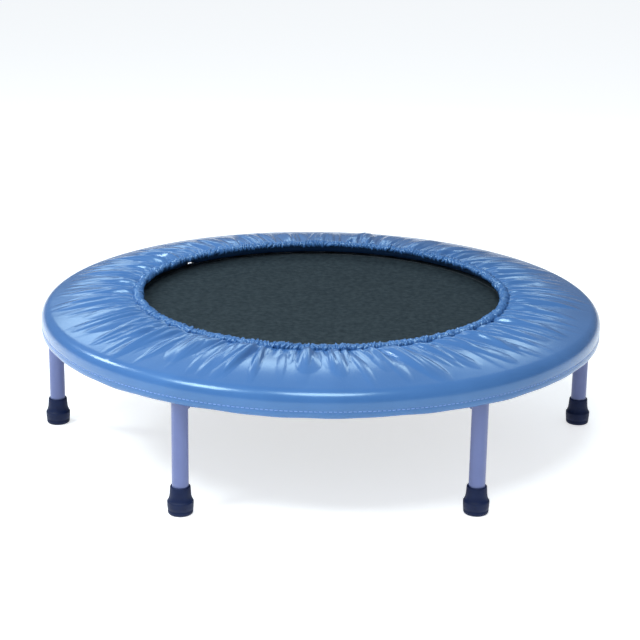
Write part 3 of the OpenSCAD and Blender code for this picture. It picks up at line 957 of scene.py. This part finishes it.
def rounded_corners(corners, radius, steps=6):
    """A closed path through corners, each rounded by that radius."""
    corners = [np.asarray(c, float) for c in corners]
    path = []
    for k, corner in enumerate(corners):
        back, on = corners[k - 1] - corner, corners[(k + 1) % len(corners)] - corner
        back, on = back / np.linalg.norm(back), on / np.linalg.norm(on)
        half = math.acos(np.clip(back @ on, -1, 1)) / 2
        reach = radius / math.tan(half)
        for t in np.linspace(0, 1, steps):
            a, b = corner + back * reach * (1 - t), corner + on * reach * t
            path.append(a * (1 - t) + b * t)
    return path


def build_v_ring():
    corners = [
        (V_BAR_R, V_BAR_HALF, MAT_Z), (V_TIP_R, V_TIP_CORNER, MAT_Z),
        (V_TIP_R, -V_TIP_CORNER, MAT_Z), (V_BAR_R, -V_BAR_HALF, MAT_Z),
    ]
    points, faces = tube_points(rounded_corners(corners, V_BEND_R), V_WIRE_R, 10, closed=True)
    return link_mesh("v_ring", points, faces, zinc)


v_rings = set_out_round("v_rings_round", build_v_ring(), SPRINGS, FIRST_SPRING, zinc)

# %% [markdown]
# ## Springs
#
# An extension spring is one wire: a hook, a close-wound coil and a second hook. Its path is worked out
# along the spring's own length and turned into a tube. Every spring is a piece of its own. On the real
# trampoline each one stretches in its own direction when the mat goes down.

# %% Spring path
COIL_R = 0.0049
WIRE_R = 0.0011
COIL_SLACK = 1.04
COIL_STEPS = 12
COIL_CLEARANCE = 0.0014
HOOK_INSIDE = 0.003693
spring_in = V_TIP_R + 0.0020
spring_out = RING_R - HOOK_INSIDE


def spring_path():
    start = spring_in + COIL_R + COIL_CLEARANCE
    stop = RING_R - RING_TUBE - COIL_CLEARANCE
    turns = int((stop - start) / (2 * WIRE_R * COIL_SLACK))
    hook = [(spring_in + COIL_R * math.cos(a), 0, MAT_Z + COIL_R * math.sin(a))
            for a in np.radians(np.linspace(290, 90, 14))]
    coil = []
    for t in np.linspace(0, 1, turns * COIL_STEPS + 1):
        a = 2 * math.pi * turns * t
        coil.append((start + (stop - start) * t, COIL_R * math.sin(a), MAT_Z + COIL_R * math.cos(a)))
    far = [(spring_out + COIL_R * math.cos(a), 0, MAT_Z + COIL_R * math.sin(a))
           for a in np.radians(np.linspace(90, -110, 14))]
    return hook + coil + far


def build_spring(name, angle, points, faces):
    cos, sin = math.cos(angle), math.sin(angle)
    turned = points @ np.array([[cos, sin, 0], [-sin, cos, 0], [0, 0, 1]])
    spring = link_mesh(name, turned, faces, zinc)
    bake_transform(spring)
    return spring


spring_points, spring_faces = tube_points(spring_path(), WIRE_R, 7)
springs = [build_spring(f"spring_{k + 1}", (k + 0.5) * 2 * math.pi / SPRINGS, spring_points, spring_faces)
           for k in range(SPRINGS)]
print("springs:", len(springs), "of", len(spring_faces), "faces")

# %% [markdown]
# ## Rubber feet
#
# A foot is a turned shape: a thick wall that closes on the tube, a shoulder, a wide band and a soft edge at
# the floor. The outline is drawn once and turned on each leg's axis, so the foot rides with its leg.


# %% Feet
def foot_outline():
    low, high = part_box("rubber_foot_1")
    tube = (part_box("leg_tube_1")[1].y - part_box("leg_tube_1")[0].y) / 2
    widest, tall = high.y, high.z
    outside = [(0, 0), (0.003, 0), (widest - 0.0045, 0)]
    outside += [tuple(p) for p in arc((widest - 0.0042, 0.0034), 0.0032, -80, 0, 6)]
    outside += [(widest - 0.0007, 0.0070), (widest - 0.0012, 0.0074), (widest - 0.0007, 0.0079)]
    outside += [(widest - 0.0002, tall * 0.30), (widest, tall * 0.40)]
    outside += [tuple(p) for p in arc((widest - 0.0025, tall * 0.44), 0.0025, 0, 62, 6)]
    outside += [(tube + 0.0046, tall * 0.58), (tube + 0.0039, tall * 0.63), (tube + 0.0034, tall * 0.72)]
    outside += [(tube + 0.0027, tall - 0.0016), (tube + 0.0021, tall - 0.0003), (tube + 0.0014, tall)]
    inside = [(tube + 0.0002, tall - 0.0006), (tube + 0.00012, tall - 0.003)]
    inside += [(tube + 0.00012, 0.0082), (0, 0.0082)]
    return outside + inside


def build_foot(number):
    angle = (number - 1) * 2 * math.pi / LEGS
    centre = (RING_R * math.cos(angle), RING_R * math.sin(angle))
    foot = lathe(f"foot_{number}", foot_outline(), 72, rubber, centre)
    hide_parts(f"rubber_foot_{number}")
    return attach(foot, f"leg_{number}")


feet = [build_foot(k + 1) for k in range(LEGS)]
print("feet:", len(feet))

# %% [markdown]
# ## Finishes on the CAD pieces
#
# The steel parts are right as they come from CAD, so they only need their finish. Each node's name says
# what it is made of.

# %% Dress the CAD nodes
CAD_FINISH = {
    "frame_ring": steel_paint, "hinge_bracket": steel_paint, "leg_tube": steel_paint, "leg_lug": steel_paint,
    "leg_cap": moulded, "hinge_bush": nylon, "friction_washers": nylon,
    "pivot_bolts": zinc, "pivot_nuts": zinc, "foot_disc": zinc, "rubber_foot": rubber,
}
for name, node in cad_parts.items():
    for start, material in CAD_FINISH.items():
        if name.startswith(start):
            node.data.materials.clear()
            node.data.materials.append(material)

# %% [markdown]
# ## What rides on what
#
# The pad stays on the ring. The mat carries its band, stitches, tabs and V-rings down with it. A CAD solid
# that has been made anew here is hidden.

# %% Riding and replacing
for piece in (cover, casing, flap, foam_ring, hem_stitches):
    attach(piece, "frame")
for piece in (mat, band, tabs, v_rings, *stitches):
    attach(piece, "mat")
for piece, nodes, finish_slot in (
    (cover, ("pad_cover", "hem_elastic"), "pad_vinyl"), (casing, ("opening_elastic",), "pad_vinyl"),
    (flap, (), "pad_vinyl"), (hem_stitches, (), "pad_vinyl"), (foam_ring, ("pad_foam",), "foam"),
    (mat, ("jump_mat",), "mat_weave"), (band, ("edge_band",), "webbing"),
    (tabs, ("webbing_tabs",), "webbing"), (v_rings, ("v_rings",), "zinc"),
    (stitches[0], (), "webbing"), (stitches[1], (), "webbing"), (springs[0], ("springs",), "zinc"),
):
    if nodes:
        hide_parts(*nodes)

# %% Sizes
made_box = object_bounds()
for title, corners in (("CAD box", cad_box), ("made box", made_box)):
    print(title, [round(x, 4) for corner in corners for x in corner])
